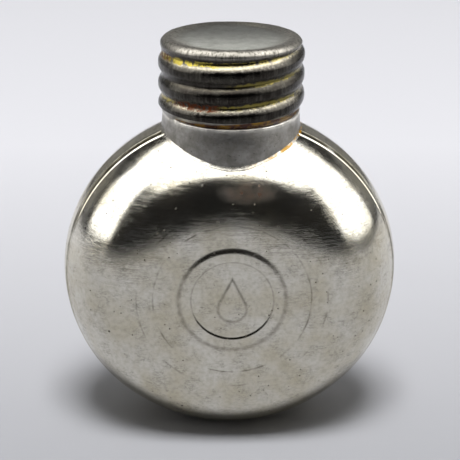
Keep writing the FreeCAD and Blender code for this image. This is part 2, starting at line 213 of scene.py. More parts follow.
def turned(name, rings, segments, ends="fill"):
    """A circle round Z extruded ring by ring through (radius, height).

    ends is "fill" where both end rings close over a pole, or "join" where the last ring meets
    the first.
    """
    radius, height = rings[0]
    piece = begin(bpy.ops.mesh.primitive_circle_add, vertices=segments, radius=radius * MM,
                  location=(0, 0, height * MM), fill_type="NOTHING")
    name_piece(piece, name)
    bpy.ops.object.mode_set(mode="EDIT")
    bpy.ops.mesh.select_mode(type="VERT")
    bpy.ops.mesh.select_all(action="SELECT")
    for next_radius, next_height in rings[1:]:
        rise = (next_height - height) * MM
        bpy.ops.mesh.extrude_region_move(TRANSFORM_OT_translate={"value": (0, 0, rise)})
        scale = next_radius / radius
        bpy.ops.transform.resize(value=(scale, scale, 1), center_override=(0, 0, 0))
        radius, height = next_radius, next_height
    bpy.ops.mesh.select_all(action="DESELECT")
    bpy.ops.mesh.select_non_manifold()
    if ends == "join":
        bpy.ops.mesh.bridge_edge_loops()
    else:
        bpy.ops.mesh.select_all(action="SELECT")
        bpy.ops.mesh.fill_holes(sides=0)
        bpy.ops.mesh.select_all(action="DESELECT")
        bpy.ops.mesh.select_face_by_sides(number=4, type="GREATER")
        bpy.ops.mesh.poke()
    bpy.ops.mesh.select_all(action="SELECT")
    bpy.ops.mesh.normals_make_consistent(inside=False)
    bpy.ops.object.mode_set(mode="OBJECT")
    return piece


def lay_over(piece, tilt):
    """Tips a piece turned round Z onto the drum's axis; its +Z goes to -Y for tilt 90."""
    piece.rotation_euler = (math.radians(tilt), 0, 0)
    piece.location = (0, 0, DRUM_AXIS * MM)
    bpy.ops.object.transform_apply(location=True, rotation=True, scale=True)


def reshape(piece, rule):
    """Moves every vertex to where rule sends it, in millimetres."""
    for vertex in piece.data.vertices:
        vertex.co = rule(vertex.co / MM) * MM
    piece.data.update()


def note(piece, name, rule):
    """Writes a number per vertex for the material to read."""
    attribute = piece.data.attributes.new(name, "FLOAT", "POINT")
    attribute.data.foreach_set("value", [rule(v.co / MM) for v in piece.data.vertices])


def carve(piece, cutter):
    """Takes cutter out of piece and deletes it."""
    modifier = piece.modifiers.new("hole", "BOOLEAN")
    modifier.object = cutter
    modifier.operation = "DIFFERENCE"
    modifier.solver = "EXACT"
    bpy.ops.object.select_all(action="DESELECT")
    piece.select_set(True)
    bpy.context.view_layer.objects.active = piece
    bpy.ops.object.modifier_apply(modifier=modifier.name)
    bpy.data.objects.remove(cutter)


def smooth_shade(piece, degrees):
    """Shades a piece smooth, except over edges sharper than an angle."""
    bpy.ops.object.select_all(action="DESELECT")
    piece.select_set(True)
    bpy.context.view_layer.objects.active = piece
    bpy.ops.object.shade_smooth_by_angle(angle=math.radians(degrees))


def settle(piece, body, material, node, edge_degrees=40):
    """Gives a finished piece its shading, its material and its body, and hides the CAD node it
    replaces.
    """
    smooth_shade(piece, edge_degrees)
    piece.data.materials.clear()
    piece.data.materials.append(material)
    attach(piece, body)
    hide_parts(node)


def ease(low, high, value):
    """0 below low, 1 above high, and a smooth rise between."""
    part = min(1.0, max(0.0, (value - low) / (high - low)))
    return part * part * (3 - 2 * part)


def levels(low, high, step):
    """Even values from low to high, about step apart."""
    count = max(1, round(abs(high - low) / step))
    return [low + (high - low) * i / count for i in range(count + 1)]


def bearing_of(point):
    """Angle of a point round Z from the front, growing towards +X."""
    return math.atan2(point.x, -point.y)


# ---- shapes that pieces share ---------------------------------------------------------------

def outline(bearing, radius=DRUM_RADIUS, depth=PAN_DEPTH):
    """(out from the drum's axis, along it) on the pan's outline: 0 is the rim, 90 the pole."""
    rise = (1 - math.cos(bearing) ** RIM_POWER) ** (1 / CROWN_POWER)
    return radius * math.cos(bearing), math.copysign(depth * rise, bearing)


def rim_at(along, radius=DRUM_RADIUS, depth=PAN_DEPTH):
    """The outline's distance from the drum's axis at a place along it."""
    return radius * max(0.0, 1 - (abs(along) / depth) ** CROWN_POWER) ** (1 / RIM_POWER)


def bearing_at(out, radius=DRUM_RADIUS):
    return math.acos(min(1.0, out / radius))


def outward(point):
    """Unit normal of the drum at a point near its surface."""
    out = math.hypot(point.x, point.z - DRUM_AXIS)
    across = RIM_POWER * out ** (RIM_POWER - 1) / DRUM_RADIUS ** RIM_POWER
    along = CROWN_POWER * abs(point.y) ** (CROWN_POWER - 1) / PAN_DEPTH ** CROWN_POWER
    share = across / max(out, 1e-6)
    return Vector((
        point.x * share, math.copysign(along, point.y), (point.z - DRUM_AXIS) * share,
    )).normalized()


def groove(height, bearing):
    """0 on a crest to 1 in a root of the right-hand thread; height is above the drum's axis."""
    turns = (height - CREST_LEVEL) / PITCH - bearing / TURN
    return abs(math.sin(math.pi * turns)) ** 3.2


def drum_top(x, y):
    """Height of the drum's upper surface over a point."""
    return DRUM_AXIS + math.sqrt(max(0.0, rim_at(y) ** 2 - x * x))


# ---- materials ------------------------------------------------------------------------------

def put(tree, kind, *values, stops=(), inputs=None, **settings):
    """Adds one shader node and returns it.

    values fill the sockets that the node shows, in their order, and inputs the named ones. A
    node given as a value stands for the first output that it shows.
    """
    made = tree.nodes.new("ShaderNode" + kind)
    for name, value in settings.items():
        setattr(made, name, value)
    for place, shade in stops[2:]:
        made.color_ramp.elements.new(0.5)
    for number, (place, shade) in enumerate(stops):
        made.color_ramp.elements[number].position = place
        made.color_ramp.elements[number].color = (shade, shade, shade, 1)
    shown = [socket for socket in made.inputs if socket.enabled]
    named = [(made.inputs[name], value) for name, value in (inputs or {}).items()]
    for socket, value in [*zip(shown, values), *named]:
        if isinstance(value, bpy.types.Node):
            value = next(output for output in value.outputs if output.enabled)
        if isinstance(value, bpy.types.NodeSocket):
            tree.links.new(value, socket)
        else:
            socket.default_value = (*value, 1) if socket.type == "RGBA" else value
    return made


def new_material(name):
    """An empty material, what adds nodes to it, and the place on the surface in millimetres."""
    material = bpy.data.materials.new(name)
    material.use_nodes = True
    material.node_tree.nodes.clear()
    add = partial(put, material.node_tree)
    where = add("TexCoord").outputs["Object"]
    return material, add, add("VectorMath", where, 1 / MM, operation="SCALE")


def finish_material(add, tone, rough, metal=0.0, gloss=0.5, relief=None, strength=0.5,
                    depth_mm=0.03):
    """Closes a material. Relief, where it has some, stands depth_mm high at full strength."""
    inputs = {"Base Color": tone, "Roughness": rough, "Metallic": metal,
              "Specular IOR Level": gloss}
    if relief:
        inputs["Normal"] = add("Bump", inputs={
            "Height": relief, "Strength": strength, "Distance": depth_mm * MM})
    add("OutputMaterial", add("BsdfPrincipled", inputs=inputs))


def cloud(add, place, size_mm, detail=4.0, roughness=0.55, low=0.35, high=0.65):
    """Soft random patches about size_mm across, from 0 to 1."""
    return add("MapRange", add("TexNoise", place, 1 / size_mm, detail, roughness), low, high)


def scratches(add, place, turn_degrees, length_mm, gap_mm, thin=0.012):
    """Fine scratches that run along one direction of the XZ plane, 0 to 1."""
    stretched = add("Mapping", place, (0, 0, 0), (0, math.radians(turn_degrees), 0),
                    (1 / length_mm, 0.04 / gap_mm, 1 / gap_mm))
    lines = add("TexNoise", stretched, 1.0, 2.5, 0.6)
    return add("ValToRGB", lines, stops=((0.5 - thin, 0.0), (0.5, 1.0), (0.5 + thin, 0.0)))


def specks(add, place, spacing_mm, size_mm, share):
    """Small round spots, size_mm across, in a share of the cells spacing_mm apart."""
    cells = add("TexVoronoi", place, 1 / spacing_mm)
    near = add("Math", cells, 0.5 * size_mm / spacing_mm, operation="LESS_THAN")
    lucky = add("SeparateColor", cells.outputs["Color"])
    chosen = add("Math", lucky, share, operation="LESS_THAN")
    return add("Math", near, chosen, operation="MULTIPLY")


def noted(add, name):
    """The number that note wrote on the piece under a name."""
    return add("Attribute", attribute_name=name).outputs["Fac"]


def strongest(add, *masks):
    """The highest of several masks."""
    high = masks[0]
    for mask in masks[1:]:
        high = add("Math", high, mask, operation="MAXIMUM")
    return high


def weighed(add, base, *parts):
    """base plus every mask times its weight."""
    for mask, weight in parts:
        base = add("Math", base, add("Math", mask, weight, operation="MULTIPLY"))
    return base


def broken(add, mask, patches, least=0.0, more=1.0):
    """mask broken up by patches: least of it stays between them, and least + more in them."""
    return add("Math", mask, weighed(add, least, (patches, more)), operation="MULTIPLY")


def coats(add, tone, *layers):
    """tone under coats of colour, each laid on by a mask and a strength."""
    for mask, strength, shade in layers:
        share = add("Math", mask, strength, operation="MULTIPLY")
        tone = add("Mix", share, tone, shade, data_type="RGBA")
    return tone


def tinplate_material(settings):
    """Hot-dipped tin on drawn steel, rubbed bright by handling: a soft mirror with long fine
    scratches, cloudy dull patches, small dark pits, a few wear rings round the face and painted
    shade on the flanks of the pressed mark."""
    material, add, place = new_material("hot_dipped_tinplate")
    dull = cloud(add, place, 7.0, detail=6.0, low=0.38, high=0.68)
    fine_dull = cloud(add, place, 0.7, detail=6.0, low=0.42, high=0.72)
    lines = strongest(add, scratches(add, place, 14, 9.0, 0.3),
                      scratches(add, place, 71, 7.0, 0.34), scratches(add, place, -48, 12.0, 0.4))
    lines = broken(add, lines, cloud(add, place, 6.0, detail=3.0, low=0.4, high=0.62), 0.3, 0.7)
    nicks = strongest(add, scratches(add, place, 38, 1.6, 0.5, thin=0.02),
                      scratches(add, place, -64, 1.3, 0.45, thin=0.02))
    nicks = broken(add, nicks, cloud(add, place, 3.0, low=0.48, high=0.6))
    pits = strongest(add, specks(add, place, 1.1, 0.28, 0.4), specks(add, place, 3.1, 0.5, 0.2))
    pits = broken(add, pits, cloud(add, place, 7.0, low=0.42, high=0.52))
    flat = add("Mapping", place, (0, 0, -DRUM_AXIS), (0, 0, 0), (1, 0, 1))
    radius = add("VectorMath", flat, operation="LENGTH")
    rings = []
    for ring_mm, strength in WEAR_RINGS:
        off = add("Math", radius, ring_mm, operation="SUBTRACT")
        off = add("Math", off, operation="ABSOLUTE")
        rings.append(add("MapRange", off, 0.05, 0.22, strength, 0.0))
    wear = broken(add, strongest(add, *rings), cloud(add, place, 3.0, low=0.45, high=0.62))
    # Painted shade: the mark's flanks are darkened to outline its relief.
    mark_flank_shade = broken(add, noted(add, "mark_flank_shade"), cloud(add, place, 1.2), 0.25, 0.45)
    across = add("Math", add("SeparateXYZ", place).outputs[1], SEAM_MIDDLE)
    seam = add("MapRange", add("Math", across, operation="ABSOLUTE"), 0.2, 0.9, 1.0, 0.0)
    dirt = broken(add, seam, cloud(add, place, 4.0, low=0.4, high=0.6))
    spread = add("Mapping", place, (-STAIN_X / STAIN_WIDE, 0.5, -STAIN_Z / STAIN_HIGH), (0, 0, 0),
                 (1 / STAIN_WIDE, 0.5 / PAN_DEPTH, 1 / STAIN_HIGH))
    stain = add("MapRange", add("VectorMath", spread, operation="LENGTH"), 0.2, 1.0, 1.0, 0.0)
    stain = broken(add, stain, cloud(add, place, 1.6, low=0.3, high=0.6))
    tone = coats(
        add, settings.tin[:], (dull, 0.75, settings.worn_tin[:]),
        (fine_dull, 0.35, linear("96917F")), (wear, 0.7, linear("6E6658")),
        (lines, 0.3, linear("8B867C")),
        (nicks, 0.6, linear("4E483E")), (pits, 0.8, linear("2B2620")),
        (mark_flank_shade, 1.0, linear("7D756A")), (dirt, 0.7, linear("4A4530")),
        (stain, 0.85, linear("7A3C14")))
    rough = weighed(add, 0.11, (dull, 0.05), (fine_dull, 0.05), (lines, 0.12), (pits, 0.3))
    grain = add("TexNoise", place, 3.5, 5.0, 0.7)
    relief = weighed(add, 0.0, (grain, 0.5), (lines, -0.18), (pits, -1.0), (wear, -0.3))
    finish_material(add, tone, rough, weighed(add, 1.0, (stain, -0.35)), 0.12, relief)
    return material


def neck_material(settings):
    """Tinned steel dulled grey, rubbed bright along its lip and painted lighter there as a
    highlight, with old oil dried brown and amber in the roots of its thread."""
    material, add, place = new_material("dull_tinned_steel")
    dull = cloud(add, place, 2.2, detail=6.0, low=0.36, high=0.66)
    fine = cloud(add, place, 0.5, detail=5.0, low=0.35, high=0.7)
    nicks = broken(add, scratches(add, place, 78, 1.4, 0.4, thin=0.02),
                   cloud(add, place, 2.0, low=0.5, high=0.6))
    pits = strongest(add, specks(add, place, 0.9, 0.22, 0.2), nicks)
    patches = cloud(add, place, 1.6, low=0.42, high=0.62)
    oil = add("MapRange", weighed(add, noted(add, "oil"), (patches, 0.25)), 0.55, 0.85)
    # Painted highlight, over wear, along the lip of the collar.
    lip = broken(add, noted(add, "lip"), patches, 0.45, 0.55)
    tone = coats(
        add, settings.tin[:], (dull, 1.0, settings.dull_tin[:]), (fine, 0.3, linear("5F5C56")),
        (pits, 0.6, linear("2F2B27")),
        (oil, 1.0, coats(add, settings.brown[:], (patches, 1.0, settings.amber[:]))),
        (lip, 1.0, settings.lip[:]))
    finish_material(add, tone, weighed(add, 0.3, (dull, 0.14)), weighed(add, 1.0, (oil, -1.0)),
                    relief=weighed(add, fine, (pits, -1.0)))
    return material


def cap_material(settings):
    """Oiled dark steel: rubbed grey on top and along the crests, with the flanks that face up
    painted lighter as a highlight and a painted highlight just under the top and bottom grooves,
    streaked up and down where a cloth gripped it, with yellow oil film and rust in parts of the
    grooves."""
    material, add, place = new_material("oiled_dark_steel")
    top = add("MapRange", add("SeparateXYZ", place).outputs[2], DRUM_AXIS + CAP_TOP - 1.3,
              DRUM_AXIS + CAP_TOP - 0.2)
    root = noted(add, "root")
    dull = cloud(add, place, 2.4, detail=6.0, low=0.38, high=0.66)
    fine = cloud(add, place, 0.35, detail=5.0, low=0.35, high=0.7)
    centre = add("VectorMath", place, (1, 1, 0), operation="MULTIPLY")
    out = add("VectorMath", centre, operation="LENGTH")
    rim = add("MapRange", add("Math", out, fine), DISH_RADIUS, DISH_RADIUS + 2.6)
    upright = add("Mapping", place, (0, 0, 0), (0, 0, 0), (2.4, 2.4, 0.14))
    streaks = add("MapRange", add("TexNoise", upright, 1.0, 4.0, 0.7), 0.48, 0.62)
    streaks = broken(add, streaks, rim)
    # Painted highlight with wear: the flanks that face up are lighter.
    rubbed_and_highlighted = broken(add, noted(add, "rubbed_and_highlighted"), streaks, 0.25, 0.9)
    streaked = strongest(add, rubbed_and_highlighted, weighed(add, 0.0, (streaks, 0.3)))
    ragged = weighed(add, 0.0, (cloud(add, place, 1.1), 0.4))
    # Painted highlight on the edge just under the top and bottom grooves.
    glint = broken(add, noted(add, "glint"), ragged, 0.4, 1.5)
    deep = add("Math", root, ragged)
    film = broken(add, noted(add, "film"), add("MapRange", deep, 1.0, 1.12))
    rust = broken(add, noted(add, "rust"), cloud(add, place, 0.6, detail=3.0, low=0.38, high=0.6))
    rust = broken(add, rust, add("MapRange", deep, 0.7, 1.0))
    # The glint colour is a painted highlight.
    side = coats(add, settings.side[:], (streaked, 1.0, settings.flank_wear_and_highlight[:]),
                 (glint, 1.0, linear("E2D8BE")))
    disc = coats(add, settings.top[:], (rim, 1.0, settings.rim[:]),
                 (streaks, 0.7, settings.side[:]))
    tone = coats(
        add, side, (top, 1.0, disc), (dull, 0.4, linear("5F5D55")), (fine, 0.15, linear("3B3833")),
        (film, 1.0, settings.film[:]), (rust, 1.0, settings.rust[:]))
    rough = weighed(add, 0.18, (dull, 0.1), (top, weighed(add, 0.42, (rim, -0.26))), (rust, 0.3))
    finish_material(add, tone, rough, weighed(add, 1.0, (rust, -0.8)), 0.12,
                    add("Math", fine, streaks))
    return material


def solder_material(settings):
    """Soft tin solder: brighter and smoother than the tinplate, stained amber where oil sat."""
    material, add, place = new_material("soft_solder")
    ripples = cloud(add, place, 1.2, detail=3.0, low=0.3, high=0.7)
    right = add("MapRange", add("SeparateXYZ", place), 2.0, 9.0)
    oil = broken(add, right, cloud(add, place, 1.8, low=0.46, high=0.56))
    tone = coats(add, linear("DDD9CF"), (ripples, 1.0, linear("A8A397")),
                 (oil, 1.0, settings.amber[:]))
    finish_material(add, tone, weighed(add, 0.2, (ripples, 0.12)), weighed(add, 1.0, (oil, -0.9)),
                    relief=ripples, strength=0.4, depth_mm=0.05)
    return material


def seam_material():
    """Solder in the bottom of the seam, under grime, with bare solder on the raised lumps."""
    material, add, place = new_material("grimy_seam_solder")
    bare = noted(add, "bare")
    tone = coats(add, linear("14120E"), (cloud(add, place, 3.0, low=0.45, high=0.6), 1.0,
                                         linear("3E3A1E")), (bare, 1.0, linear("D5D1C7")))
    finish_material(add, tone, weighed(add, 0.65, (bare, -0.43)), bare)
    return material


def wire_material(name, tone, rough):
    """Drawn or stamped tinned steel inside the bottle, filmed with oil: bright and smooth."""
    material, add, place = new_material(name)
    dull = cloud(add, place, 1.0, detail=5.0)
    finish_material(add, coats(add, linear(tone), (dull, 1.0, linear("7D776B"))),
                    weighed(add, rough, (dull, 0.12)), 1.0, relief=dull, strength=0.3,
                    depth_mm=0.02)
    return material


def leather_material(settings):
    """Vegetable-tanned leather soaked in oil: nearly black brown, with pores and a soft gloss."""
    material, add, place = new_material("oiled_leather")
    mottle = cloud(add, place, 2.5, detail=5.0)
    tone = coats(add, settings.leather[:], (mottle, 1.0, linear("1E120A")))
    finish_material(add, tone, weighed(add, 0.42, (mottle, 0.15)),
                    relief=add("TexVoronoi", place, 2.2), strength=0.6, depth_mm=0.08)
    return material


def bristle_material(settings):
    """Hog bristle: dark brown, each hair a little different, glossy with oil."""
    material, add, place = new_material("hog_bristle")
    streak = cloud(add, place, 0.35, detail=3.0)
    finish_material(add, coats(add, settings.bristle_colour[:], (streak, 1.0, linear("6B5230"))),
                    weighed(add, 0.35, (streak, 0.15)))
    return material


# ---- drum -----------------------------------------------------------------------------------

def lip_rings(edge, inside, side, roll, bead, bead_back, bead_wide):
    """Rings over a pan's rounded lip, ending on the face at edge.

    side is 1 for the front pan and -1 for the rear. A bead stands a little proud of the pan.
    """
    rings = []
    for back in levels(1.1, roll, 0.08):
        along = edge + side * back
        swell = bead * math.exp(-((back - bead_back) / bead_wide) ** 2)
        rings.append((rim_at(along) + swell, along))
    out = rings[-1][0]
    for step in range(1, 5):
        bend = math.pi / 2 * step / 4
        rings.append((out - roll + roll * math.cos(bend),
                      edge + side * (roll - roll * math.sin(bend))))
    return rings + [(inside, edge)]


def wavy(settings):
    """The rule that leaves a drawn pan slightly uneven and flattened where it stands."""
    height = settings.waviness / MM

    def rule(point):
        # The unevenness dies out towards the seam, so that the two lips stay true.
        normal = outward(point)
        swell = noise.noise(point / 9.0) + 0.35 * noise.noise(point / 3.5)
        moved = point + normal * height * swell * ease(1.0, 6.0, abs(point.y + SEAM_MIDDLE))
        out = math.hypot(moved.x, moved.z - DRUM_AXIS)
        # The foot is pressed flat, with a soft edge, on the outer skin and on the inner one.
        inner = out < rim_at(point.y) - SHEET * 0.6 and moved.z < DRUM_AXIS
        floor = SHEET if inner else 0.0
        if moved.z < floor + 0.2:
            over = moved.z - floor
            moved.z = floor + max(0.0, (over + math.sqrt(over * over + 0.01)) / 2 - 0.01)
        return moved
    return rule


def neck_hole(piece):
    """The hole that both pans share, just inside the neck's wall."""
    cutter = begin(bpy.ops.mesh.primitive_cylinder_add, vertices=144,
                   radius=(NECK_RADIUS - 0.16) * MM, depth=40 * MM,
                   location=(0, 0, (DRUM_AXIS + 35) * MM))
    carve(piece, cutter)


def is_marked(point):
    """Whether a point of the front pan is on the part of its face that the mark takes up."""
    return point.y < FACE_SKIN and math.hypot(point.x, point.z - DRUM_AXIS) < MARKED_RADIUS


def mark_rise(settings, point):
    """Height over the face of the pressed ring and of the drop inside it, from 0 to 1."""
    if not is_marked(point):
        return 0.0
    x, z = point.x, point.z - DRUM_AXIS
    off = math.hypot(x, z) - settings.ring_radius / MM
    half = settings.ring_width / MM / 2
    inner_flank, outer_flank = 0.4, 1.3
    band = ease(-half - inner_flank, -half, off) * (1 - ease(half, half + outer_flank, off))
    low, reach, round_end, soft = -1.55, 5.6, 2.5, 0.42
    lean = math.asin(round_end / reach)
    side, up = abs(x), z - low
    if up * math.cos(lean) > side * math.sin(lean) and up > round_end * math.sin(lean):
        off = side * math.cos(lean) + up * math.sin(lean) - round_end
    else:
        off = math.hypot(side, up) - round_end
    return max(band, 1 - ease(-soft, soft, off))


class OILBOTTLE_OT_front_pan(bpy.types.Operator):
    """Draw the front pan with its pressed mark, its lip and the skirt that slides into the rear"""
    bl_idname = "oil_bottle.front_pan"
    bl_label = "Front pan"

    def execute(self, context):
        settings = context.scene.oil_bottle.drum
        rings = [outline(bearing_at(out)) for out in levels(0.3, MARKED_RADIUS, 0.3)]
        rings += [outline(bearing_at(out))
                  for out in levels(MARKED_RADIUS, PAN_SHOULDER, 0.65)[1:]]
        start, stop = bearing_at(PAN_SHOULDER), bearing_at(rim_at(SEAM_FRONT + 1.2))
        rings += [outline(bearing) for bearing in levels(start, stop, 0.022)[1:]]
        rings += lip_rings(SEAM_FRONT, SKIRT_RADIUS + 0.02, side=1, roll=0.16, bead=0.11,
                           bead_back=0.36, bead_wide=0.2)
        inside = SKIRT_RADIUS - SHEET
        rings += [(SKIRT_RADIUS, SEAM_FRONT - 0.02), (SKIRT_RADIUS, -SKIRT_REACH),
                  (inside, -SKIRT_REACH), (inside, SEAM_FRONT + SHEET)]
        inner = DRUM_RADIUS - SHEET, PAN_DEPTH - SHEET
        first = bearing_at(rim_at(SEAM_FRONT + SHEET, *inner), inner[0])
        rings += [outline(b, *inner) for b in levels(first, math.pi / 2 - 0.02, 0.06)]
        pan = turned("front_pan", rings, settings.segments)
        lay_over(pan, 90)
        self.refine_mark(pan)
        uneven = wavy(settings)
        height = settings.mark_height / MM

        def rule(point):
            moved = uneven(point)
            moved.y -= height * mark_rise(settings, point)
            return moved

        def mark_flank_shade(point):
            """1 halfway up the mark's flanks, where painted shade outlines the mark."""
            high = mark_rise(settings, point)
            return 4 * high * (1 - high)

        reshape(pan, rule)
        neck_hole(pan)
        note(pan, "mark_flank_shade", mark_flank_shade)
        settle(pan, "flask", tinplate_material(settings), "front_shell")
        return {"FINISHED"}

    def refine_mark(self, pan):
        """Halves the faces under the mark."""
        for polygon in pan.data.polygons:
            polygon.select = is_marked(polygon.center / MM)
        bpy.ops.object.mode_set(mode="EDIT")
        bpy.ops.mesh.select_mode(type="FACE")
        bpy.ops.mesh.subdivide(number_cuts=1)
        bpy.ops.object.mode_set(mode="OBJECT")


class OILBOTTLE_OT_rear_pan(bpy.types.Operator):
    """Draw the rear pan, whose skirt closes over the front one"""
    bl_idname = "oil_bottle.rear_pan"
    bl_label = "Rear pan"

    def execute(self, context):
        settings = context.scene.oil_bottle.drum
        rings = [outline(bearing_at(out)) for out in levels(0.4, PAN_SHOULDER, 0.8)]
        rings += [outline(b) for b in levels(bearing_at(PAN_SHOULDER), 0.0, 0.03)[1:]]
        rings += [(rim_at(along), -along) for along in levels(0.25, SEAM_REAR - 1.2, 0.3)]
        inner = DRUM_RADIUS - SHEET, PAN_DEPTH - SHEET
        inside = rim_at(SEAM_REAR, *inner)
        lip = lip_rings(SEAM_REAR, inside, side=-1, roll=0.14, bead=0.05, bead_back=0.3,
                        bead_wide=0.15)
        rings += [(out, -along) for out, along in lip]
        rings += [(rim_at(along, *inner), -along) for along in levels(SEAM_REAR - 0.4, 0.4, 0.6)]
        rings += [outline(b, *inner) for b in levels(0.05, math.pi / 2 - 0.02, 0.06)]
        pan = turned("rear_pan", rings, settings.segments)
        lay_over(pan, -90)
        reshape(pan, wavy(settings))
        neck_hole(pan)
        settle(pan, "flask", bpy.data.materials["hot_dipped_tinplate"],
               "rear_shell")
        return {"FINISHED"}


class OILBOTTLE_OT_seam(bpy.types.Operator):
    """Lay the solder in the bottom of the seam, with a few lumps that bridge it"""
    bl_idname = "oil_bottle.seam"
    bl_label = "Seam solder"

    def execute(self, context):
        half = (SEAM_FRONT - SEAM_REAR) / 2
        low = SKIRT_RADIUS - 0.03
        rings = [(low, SEAM_FRONT)]
        for step in range(7):
            bend = math.pi * step / 6
            rings.append((low + 0.08 + 0.09 * math.sin(bend),
                          SEAM_MIDDLE + half * math.cos(bend)))
        rings.append((low, SEAM_REAR))
        piece = turned("seam_solder_bead", rings, 360, ends="join")
        lay_over(piece, 90)

        def bareness(point):
            bearing = math.degrees(math.atan2(point.x, point.z - DRUM_AXIS))
            bare = 0.0
            for place, width in SOLDER_LUMPS:
                off = (bearing - place + 180) % 360 - 180
                bare = max(bare, math.exp(-(off / width) ** 2))
            return bare

        def rule(point):
            out = math.hypot(point.x, point.z - DRUM_AXIS)
            if out < SKIRT_RADIUS:
                return point
            lift = 0.3 * bareness(point) + 0.04 * noise.noise(point / 2.0)
            share = (out + max(0.0, lift)) / out
            return Vector((point.x * share, point.y, DRUM_AXIS + (point.z - DRUM_AXIS) * share))

        reshape(piece, rule)
        neck_hole(piece)
        note(piece, "bare", bareness)
        settle(piece, "flask", seam_material(), "seam_solder", 60)
        return {"FINISHED"}


# ---- neck -----------------------------------------------------------------------------------

class OILBOTTLE_OT_neck(bpy.types.Operator):
    """Roll the neck: a plain collar with a level lip and the thread above it"""
    bl_idname = "oil_bottle.neck"
    bl_label = "Neck"

    def execute(self, context):
        settings = context.scene.oil_bottle.neck
        lip_roll = settings.lip_roll / MM
        crest = CAP_RADIUS - CAP_SHEET - THREAD_SLACK
        bore = NECK_RADIUS - SHEET
        heights = levels(NECK_FOOT, NECK_LIP - 0.6, 0.8)
        heights += levels(NECK_LIP - 0.45, NECK_LIP + 0.5, 0.06)
        heights += levels(NECK_LIP + 0.65, NECK_MOUTH - 0.35, 0.16)
        rings = [(NECK_RADIUS, height) for height in heights]
        roll = SHEET / 2
        for step in range(1, 8):
            bend = math.pi * step / 7
            rings.append((NECK_RADIUS - roll + roll * math.cos(bend),
                          NECK_MOUTH - 0.3 + 0.3 * math.sin(bend)))
        rings += [(bore, height) for height in levels(NECK_MOUTH - 0.5, NECK_FOOT, 0.35)]
        piece = turned("neck", rings, 192, ends="join")

        def thread(height, bearing):
            """Radius of the outer skin at a height above the drum's axis."""
            collar = NECK_RADIUS + NECK_FLARE * (1 - ease(FLARE_START, NECK_LIP, height))
            run_out = ease(NECK_MOUTH - 1.2, NECK_MOUTH, height)
            dip = groove(height, bearing)
            # The thread starts at the left of the front, and is full where the cap covers it.
            start = ease(math.radians(-59), math.radians(-55), bearing)
            start = max(start, ease(CAP_RIM - 0.25, CAP_RIM + 0.2, height))
            dip = max(dip * start, run_out)
            share = ease(NECK_LIP, NECK_LIP + lip_roll, height)
            return collar * (1 - share) + (crest - THREAD_DEPTH * dip) * share

        def rule(point):
            height = point.z
            out = math.hypot(point.x, point.y)
            bearing = bearing_of(point)
            target = thread(min(height, NECK_MOUTH), bearing) - (NECK_RADIUS - out)
            target += 0.03 * noise.noise(Vector((point.x, point.y, height)) / 4.0)
            share = target / out
            return Vector((point.x * share, point.y * share, height + DRUM_AXIS))

        def oil(point):
            height = point.z - DRUM_AXIS
            out = math.hypot(point.x, point.y)
            depth = (crest - out) / THREAD_DEPTH
            return ease(0.25, 0.8, depth) if height > NECK_LIP + 0.02 else 0.0

        # Where the lip's painted highlight lies: a band at the top of the collar.
        def lip(point):
            height = point.z - DRUM_AXIS - NECK_LIP
            outside = math.hypot(point.x, point.y) > NECK_RADIUS - 0.25
            return math.exp(-((height + 0.1) / 0.42) ** 2) if outside else 0.0

        reshape(piece, rule)
        note(piece, "oil", oil)
        note(piece, "lip", lip)
        settle(piece, "flask", neck_material(settings), "neck_tube", 50)
        return {"FINISHED"}


class OILBOTTLE_OT_neck_solder(bpy.types.Operator):
    """Run a fillet of solder round the foot of the neck, along the drum"""
    bl_idname = "oil_bottle.neck_solder"
    bl_label = "Neck solder"

    def execute(self, context):
        settings = context.scene.oil_bottle.neck
        inner, reach, rise = NECK_RADIUS + 0.02, 0.55, 0.42
        shares = levels(0.0, 1.0, 0.125)
        rings = [(inner + reach * share, 1.0) for share in shares]
        rings += [(inner + reach, 0.0), (inner + reach * 0.5, 0.0), (inner, 0.0)]
        piece = turned("neck_solder_fillet", rings, 240, ends="join")

        def rule(point):
            out = math.hypot(point.x, point.y)
            share = (out - inner) / reach
            bearing = bearing_of(point)
            uneven = 1 + 0.28 * noise.noise(Vector((math.sin(bearing), math.cos(bearing), 0)) * 4)
            far = inner + (out - inner) * uneven
            x, y = point.x * far / out, point.y * far / out
            base = drum_top(x, y)
            lift = rise * uneven * max(0.0, 1 - share) ** 2.2 + 0.03 if point.z > 0.5 else -0.3
            return Vector((x, y, base + lift))

        reshape(piece, rule)
        settle(piece, "flask", solder_material(settings), "neck_solder", 60)
        return {"FINISHED"}


# ---- cap ------------------------------------------------------------------------------------

def cap_rings():
    """Rings of the cap: up the inside from the rim, over the roof, and back down the outside."""
    shoulder = CAP_TOP - CAP_CORNER
    corner_side = CAP_RADIUS - CAP_DRAW

    def side(height, inset):
        lean = ease(shoulder - CAP_CORNER, shoulder, height)
        return CAP_RADIUS - inset - CAP_DRAW * lean, height

    roof = CAP_TOP - CAP_DISH - CAP_SHEET
    rings = [(out, roof) for out in levels(0.4, corner_side - 1.1, 0.8)]
    rings += [(corner_side - 0.7, roof - 0.2)]
    rings += [side(height, CAP_SHEET) for height in levels(roof - 0.6, CAP_RIM, 0.2)]
    rings += [side(height, 0) for height in levels(CAP_RIM, shoulder, 0.16)]
    edge = corner_side - CAP_CORNER
    for step in range(1, 11):
        bend = math.pi / 2 * step / 10
        rings.append((edge + CAP_CORNER * math.cos(bend), shoulder + CAP_CORNER * math.sin(bend)))
    for share in levels(0.0, 1.0, 0.1)[1:]:
        rings.append((edge + (DISH_RADIUS - edge) * share, CAP_TOP - CAP_DISH * ease(0, 1, share)))
    return rings + [(out, CAP_TOP - CAP_DISH) for out in levels(DISH_RADIUS - 0.6, 0.4, 0.6)]


